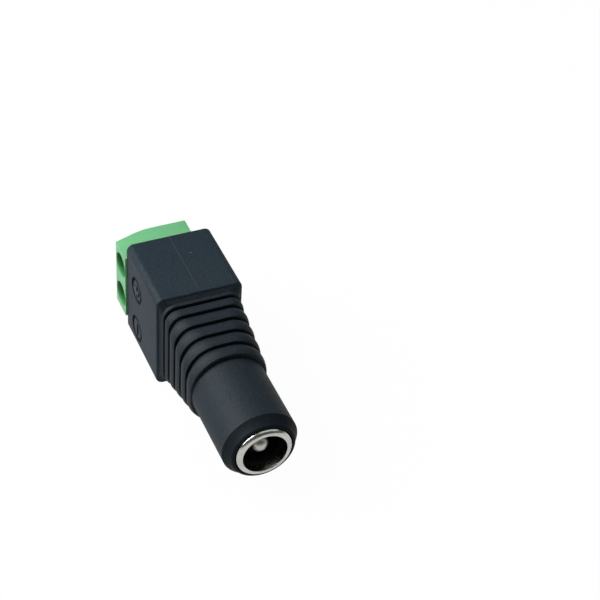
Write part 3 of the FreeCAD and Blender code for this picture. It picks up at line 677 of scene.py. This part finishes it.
class ADAPTER_OT_make_mould_lines(bpy.types.Operator):
    """Runs the fine seam of the two mould halves along the block's top and bottom"""

    bl_idname = "adapter.make_mould_lines"
    bl_label = "Mould lines"

    wall = 0.06 * MM

    def execute(self, context):
        sizes = context.scene.adapter_sizes
        width, proud, wall = sizes.mould_line_width, sizes.mould_line_height, self.wall
        flat = block_stations(sizes)[4:6]
        for name, side in zip(("mould_line_top", "mould_line_bottom"), SIDES):
            piece = blank(name)
            trace([(place, -width / 2, side * (half_height + proud)) for place, _, half_height, _ in flat])
            bpy.ops.mesh.select_all(action="SELECT")
            bpy.ops.mesh.extrude_region_move(TRANSFORM_OT_translate={"value": (0, width, 0)})
            bpy.ops.object.mode_set(mode="OBJECT")
            clean(piece)
            apply_modifier(piece, "SOLIDIFY", "wall", thickness=wall, offset=0.0)
            make_active(piece)
            bpy.ops.object.mode_set(mode="EDIT")
            bpy.ops.mesh.select_all(action="SELECT")
            bpy.ops.transform.translate(value=(0, 0, -side * wall / 2))
            bpy.ops.object.mode_set(mode="OBJECT")
            clean(piece)
            smooth(piece)
            settle(piece, "adapter", bpy.data.materials["black_overmould"])
        return {"FINISHED"}


def sign_bar(name, centre, across, sizes):
    """One bar of a sign, standing out towards -Y from a root inside the disc."""
    deselect()
    depth = sizes.sign_height + SIGN_ROOT
    reach = (sizes.sign_width, depth, sizes.sign_length) if across else (sizes.sign_length, depth, sizes.sign_width)
    bpy.ops.mesh.primitive_cube_add(size=1, location=centre, scale=reach)
    piece = bpy.context.object
    piece.name = name
    bpy.ops.object.transform_apply(location=True, rotation=True, scale=True)
    return piece


class ADAPTER_OT_make_signs(bpy.types.Operator):
    """Raises a plus and a minus sign in the two round recesses"""

    bl_idname = "adapter.make_signs"
    bl_label = "Polarity signs"

    def execute(self, context):
        sizes = context.scene.adapter_sizes
        along = BODY_LOW.x + sizes.mark_setback
        middle = BODY_LOW.y + sizes.disc_depth + (SIGN_ROOT - sizes.sign_height) / 2
        for name, side in zip(("plus_sign", "minus_sign"), SIDES):
            centre = (along, middle, mark_height(sizes, side))
            piece = sign_bar(name, centre, True, sizes)
            if name == "plus_sign":
                combine(piece, "UNION", (sign_bar("cross_bar", centre, False, sizes),))
            clean(piece)
            round_edges(piece, sizes.sign_edge, 2)
            smooth(piece, 15)
            settle(piece, "adapter", bpy.data.materials["black_overmould"])
        return {"FINISHED"}


class ADAPTER_OT_make_housing(bpy.types.Operator):
    """Finishes the green terminal block with round edges and a wide curve below its wire face"""

    bl_idname = "adapter.make_housing"
    bl_label = "Terminal block"

    def execute(self, context):
        sizes = context.scene.adapter_sizes
        material = housing_finish(context.scene.adapter_colours.housing)
        piece = copy_of("terminal_housing", "terminal_block")
        combine(piece, "DIFFERENCE", (self.curve_cutter(sizes),))
        round_edges(piece, sizes.housing_edge)
        smooth(piece)
        settle(piece, "adapter", material, ("terminal_housing",))
        return {"FINISHED"}

    def curve_cutter(self, sizes):
        """What a wide curve between the wire face and the slanted face takes off."""
        corner = Vector((HOUSING_LOW.x, -sizes.slant_start, 0.0))
        foot = Vector((HOUSING_LOW.x + sizes.slant_depth, HOUSING_LOW.y, 0.0))
        slant = (foot - corner).normalized()
        start, end = corner + Vector((0, sizes.wire_edge, 0)), corner + slant * sizes.wire_edge
        curve = []
        for i in range(9):
            share = i / 8
            curve.append(start.lerp(corner, share).lerp(corner.lerp(end, share), share))
        curve = [start - Vector((MM, 0, 0)), *curve, end + Vector((slant.y, -slant.x, 0)) * MM]
        low = Vector((0, 0, 2 * HOUSING_LOW.z))
        piece = blank("curve_cutter")
        trace([point + low for point in curve])
        bpy.ops.mesh.select_all(action="SELECT")
        bpy.ops.mesh.edge_face_add()
        bpy.ops.mesh.extrude_region_move(TRANSFORM_OT_translate={"value": low * -2})
        bpy.ops.object.mode_set(mode="OBJECT")
        clean(piece)
        return piece


class ADAPTER_OT_make_jack(bpy.types.Operator):
    """Turns the nickel ring and the centre pin, and finishes what carries them"""

    bl_idname = "adapter.make_jack"
    bl_label = "Jack"

    hem = 0.08 * MM

    def execute(self, context):
        sizes = context.scene.adapter_sizes
        colours = context.scene.adapter_colours
        ring = turned("jack_ring", self.ring_profile(sizes), 128)
        smooth(ring, 40)
        nickel = plated_finish("nickel_plate", colours.nickel, 0.17)
        settle(ring, "adapter", nickel, ("jack_shell",))
        pin = turned("jack_pin", self.pin_profile(sizes), 64)
        smooth(pin, 40)
        satin = plated_finish("pin_plate", colours.nickel, 0.34)
        settle(pin, "adapter", satin, ("center_pin",))
        paint("jack_insulator", plain_plastic_finish("black_insulator", colours.insulator, 0.5))
        return {"FINISHED"}

    def ring_profile(self, sizes):
        """Sheet sleeve with a thick rolled lip, which has a small round edge at its bore."""
        inner, outer, hem = sizes.lip_radius, SHELL_HIGH.z, self.hem
        wall_out, wall_in = sizes.sleeve_radius, sizes.sleeve_radius - sizes.sleeve_wall
        turn, back = INSULATOR_HIGH.x, -sizes.lip_length
        profile = [(SHELL_LOW.x, wall_in), (turn, wall_in), (turn, inner), (-hem - 0.02 * MM, inner)]
        profile += arc((-hem, inner + hem), hem, -80, 0, 4)
        for along, out in arc((0, 0), 1.0, 8, 90, 16):
            profile.append((sizes.lip_round * (along - 1), inner + hem + (outer - inner - hem) * out))
        return profile + [(back, outer), (back, wall_out), (SHELL_LOW.x, wall_out), (SHELL_LOW.x, wall_in)]

    def pin_profile(self, sizes):
        """Thin stem, then the pin with its domed tip."""
        radius, dome, stem, root = PIN_HIGH.z, sizes.pin_dome, sizes.stem_radius, -sizes.stem_end
        big = (radius**2 + dome**2) / (2 * dome)
        profile = [(PIN_LOW.x, 0.0), (PIN_LOW.x, stem), (root, stem), (root, radius)]
        return profile + arc((-sizes.pin_reach - big, 0.0), big, math.degrees(math.asin(radius / big)), 0, 12)


class ADAPTER_OT_make_clamps(bpy.types.Operator):
    """Models the threaded screws, the cages and the contact bars of both poles"""

    bl_idname = "adapter.make_clamps"
    bl_label = "Clamps"

    screw_bevel = 0.25 * MM
    screw_neck = 0.35 * MM
    thread_root = 0.05 * MM
    thread_crest = 0.03 * MM

    def execute(self, context):
        sizes = context.scene.adapter_sizes
        colours = context.scene.adapter_colours
        zinc = plated_finish("zinc_steel", colours.zinc, 0.24)
        tin = plated_finish("tinned_brass", colours.tin, 0.26)
        for pole in POLES:
            for node, name, body, slot, material in (
                (f"clamp_cage_{pole}", f"wire_cage_{pole}", f"cage_{pole}", "zinc_steel", zinc),
                (f"contact_bar_{pole}", f"bent_bar_{pole}", "adapter", "tinned_brass", tin),
            ):
                piece = copy_of(node, name)
                round_edges(piece, sizes.clamp_edge)
                smooth(piece)
                settle(piece, body, material, (node,))
            self.make_screw(pole, sizes, zinc)
        for node in ("pin_tag", "sleeve_contact", "positive_lead", "negative_lead"):
            paint(node, tin)
        paint("solder_joints", plated_finish("solder", scaled(colours.tin, 0.85), 0.42))
        paint("positive_jacket", plain_plastic_finish("red_insulation", (0.42, 0.012, 0.008), 0.4))
        paint("negative_jacket", plain_plastic_finish("black_insulation", (0.014, 0.014, 0.015), 0.4))
        return {"FINISHED"}

    def make_screw(self, pole, sizes, material):
        """Slotted screw with a plain neck below its head and a thread on the rest of its shank."""
        low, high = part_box(f"clamp_screw_{pole}")
        at = Vector(((low.x + high.x) / 2, 0.0, (low.z + high.z) / 2))
        head, bevel = (high.x - low.x) / 2, self.screw_bevel
        seat = low.y + sizes.head_height
        start = seat + self.screw_neck
        shank, core = sizes.shank_radius, sizes.shank_radius - sizes.thread_depth
        profile = [
            (low.y, 0.0),
            (low.y, head - bevel),
            (low.y + bevel * 0.3, head - bevel * 0.3),
            (low.y + bevel, head),
            (seat, head),
            (seat, shank),
            (start, shank),
            (start + sizes.thread_depth, core),
            (high.y - bevel, core),
            (high.y, core - bevel),
            (high.y, 0.0),
        ]
        screw = spun(f"threaded_screw_{pole}", profile, at, (0, 1, 0), (1, 0, 0), 48)
        reach = (4 * head, 2 * sizes.slot_depth, sizes.slot_width)
        bpy.ops.mesh.primitive_cube_add(size=1, location=(at.x, low.y, at.z), scale=reach)
        slot = bpy.context.object
        bpy.ops.object.transform_apply(location=True, rotation=True, scale=True)
        combine(screw, "DIFFERENCE", (slot,))
        combine(screw, "UNION", (self.make_thread(at, start, high.y - bevel, sizes),))
        smooth(screw, 30)
        settle(screw, f"screw_{pole}", material, (f"clamp_screw_{pole}",))

    def make_thread(self, at, start, end, sizes):
        """Ridge that winds round the shank from start to end."""
        pitch, shank = sizes.thread_pitch, sizes.shank_radius
        root, half = shank - sizes.thread_depth - self.thread_root, pitch * 0.42
        ridge = ((root, half), (shank, half + self.thread_crest), (shank, half - self.thread_crest), (root, -half))
        piece = blank("thread")
        trace([at + Vector((radius, start + pitch / 2 + along, 0)) for radius, along in ridge])
        bpy.ops.mesh.select_all(action="SELECT")
        bpy.ops.mesh.edge_face_add()
        bpy.ops.mesh.delete(type="ONLY_FACE")
        bpy.ops.object.mode_set(mode="OBJECT")
        make_active(piece)
        bpy.context.scene.cursor.location = at
        bpy.ops.object.origin_set(type="ORIGIN_CURSOR")
        apply_modifier(
            piece, "SCREW", "helix", axis="Y", angle=math.tau, screw_offset=pitch, steps=32, render_steps=32,
            iterations=int((end - start) / pitch) - 1, use_merge_vertices=True,
        )
        bpy.ops.object.mode_set(mode="EDIT")
        bpy.ops.mesh.select_all(action="SELECT")
        bpy.ops.mesh.fill_holes(sides=0)
        bpy.ops.object.mode_set(mode="OBJECT")
        clean(piece)
        return piece


def table_finish():
    """White table that shows to the camera as plain white and keeps a soft shadow."""
    f = Finish("table")
    white = f.node("ShaderNodeBsdfDiffuse", {}, {"Color": (0.22, 0.22, 0.22, 1.0)})
    glow = f.node("ShaderNodeEmission", {}, {"Color": (1.0, 1.0, 1.0, 1.0), "Strength": 1.08})
    seen = f.node("ShaderNodeLightPath", output="Is Camera Ray")
    mirrored = f.node("ShaderNodeLightPath", output="Is Glossy Ray")
    mixed = f.node("ShaderNodeMixShader", {}, {0: seen * 0.90 + mirrored * 0.60, 1: white, 2: glow})
    f.node_output(mixed)
    return f.material


class ADAPTER_OT_make_stage(bpy.types.Operator):
    """Sets the table, the soft lights and the camera of the photograph"""

    bl_idname = "adapter.make_stage"
    bl_label = "Stage"

    table_size = 4.0
    camera_azimuth = 64.164
    camera_elevation = 41.239
    camera_roll = 4.194
    camera_distance = 205.235 * MM
    camera_lens = 100.336
    camera_aim = (-10.140 * MM, 8.069 * MM, 14.422 * MM)
    room_light = 0.09
    lamps = (("key_softbox", (-0.16, -0.38, 0.37), 0.50, 5.4), ("top_softbox", (-0.04, 0.24, 0.47), 0.75, 1.1))

    def execute(self, context):
        scene = context.scene
        deselect()
        bpy.ops.mesh.primitive_plane_add(size=self.table_size, location=(0, 0, CAD_BOX[0].z))
        table = context.object
        table.name = "table"
        bpy.ops.object.transform_apply(location=True)
        table.data.materials.append(table_finish())
        self.make_world(scene)
        for lamp in self.lamps:
            self.make_lamp(*lamp)
        self.make_camera(scene)
        scene.view_settings.view_transform = "Standard"
        return {"FINISHED"}

    def make_world(self, scene):
        """White to the camera, and a dim even light on the object."""
        world = bpy.data.worlds.new("studio")
        scene.world = world
        world.use_nodes = True
        nodes, links = world.node_tree.nodes, world.node_tree.links
        nodes.clear()
        path = nodes.new("ShaderNodeLightPath")
        mixer = nodes.new("ShaderNodeMixShader")
        out = nodes.new("ShaderNodeOutputWorld")
        links.new(path.outputs["Is Camera Ray"], mixer.inputs[0])
        for socket, strength in ((1, self.room_light), (2, 1.0)):
            white = nodes.new("ShaderNodeBackground")
            white.inputs["Color"].default_value = (1.0, 1.0, 1.0, 1.0)
            white.inputs["Strength"].default_value = strength
            links.new(white.outputs[0], mixer.inputs[socket])
        links.new(mixer.outputs[0], out.inputs["Surface"])

    def make_lamp(self, name, place, size, power):
        """Square softbox of that size in metres and power in watts, aimed at the adapter's middle."""
        bpy.ops.object.light_add(type="AREA", location=place)
        lamp = bpy.context.object
        lamp.name = name
        lamp.data.shape = "SQUARE"
        lamp.data.size = size
        lamp.data.energy = power
        aim = Vector((CAD_BOX[0].x / 2, 0, 0)) - Vector(place)
        lamp.rotation_euler = aim.to_track_quat("-Z", "Y").to_euler()

    def make_camera(self, scene):
        """The camera that was fitted to the photograph."""
        turn, lift = math.radians(self.camera_azimuth), math.radians(self.camera_elevation)
        back = Vector((math.sin(turn) * math.cos(lift), -math.cos(turn) * math.cos(lift), math.sin(lift)))
        place = Vector(self.camera_aim) + back * self.camera_distance
        bpy.ops.object.camera_add(location=place)
        camera = bpy.context.object
        camera.name = "photo_camera"
        facing = (-back).to_track_quat("-Z", "Y").to_matrix()
        camera.rotation_euler = (facing @ Matrix.Rotation(math.radians(self.camera_roll), 3, "Z")).to_euler()
        camera.data.sensor_width = 36.0
        camera.data.lens = self.camera_lens
        camera.data.clip_start, camera.data.clip_end = 0.01, 10.0
        scene.camera = camera


class ADAPTER_PT_panel(bpy.types.Panel):
    """Buttons for each group of pieces"""

    bl_idname = "ADAPTER_PT_panel"
    bl_label = "Jack adapter"
    bl_space_type = "VIEW_3D"
    bl_region_type = "UI"
    bl_category = "Adapter"

    def draw(self, context):
        for operator in OPERATORS:
            self.layout.operator(operator.bl_idname)
        for group in (context.scene.adapter_sizes, context.scene.adapter_colours):
            box = self.layout.box()
            for name in group.__annotations__:
                box.prop(group, name)


OPERATORS = (
    ADAPTER_OT_make_body,
    ADAPTER_OT_make_mould_lines,
    ADAPTER_OT_make_signs,
    ADAPTER_OT_make_housing,
    ADAPTER_OT_make_jack,
    ADAPTER_OT_make_clamps,
    ADAPTER_OT_make_stage,
)
CLASSES = (AdapterSizes, AdapterColours, *OPERATORS, ADAPTER_PT_panel)


def register():
    for cls in CLASSES:
        bpy.utils.register_class(cls)
    bpy.types.Scene.adapter_sizes = PointerProperty(type=AdapterSizes)
    bpy.types.Scene.adapter_colours = PointerProperty(type=AdapterColours)


def unregister():
    del bpy.types.Scene.adapter_colours
    del bpy.types.Scene.adapter_sizes
    for cls in reversed(CLASSES):
        bpy.utils.unregister_class(cls)


def main():
    register()
    bpy.ops.adapter.make_body()
    bpy.ops.adapter.make_mould_lines()
    bpy.ops.adapter.make_signs()
    bpy.ops.adapter.make_housing()
    bpy.ops.adapter.make_jack()
    bpy.ops.adapter.make_clamps()
    bpy.ops.adapter.make_stage()


if __name__ == "__main__":
    main()
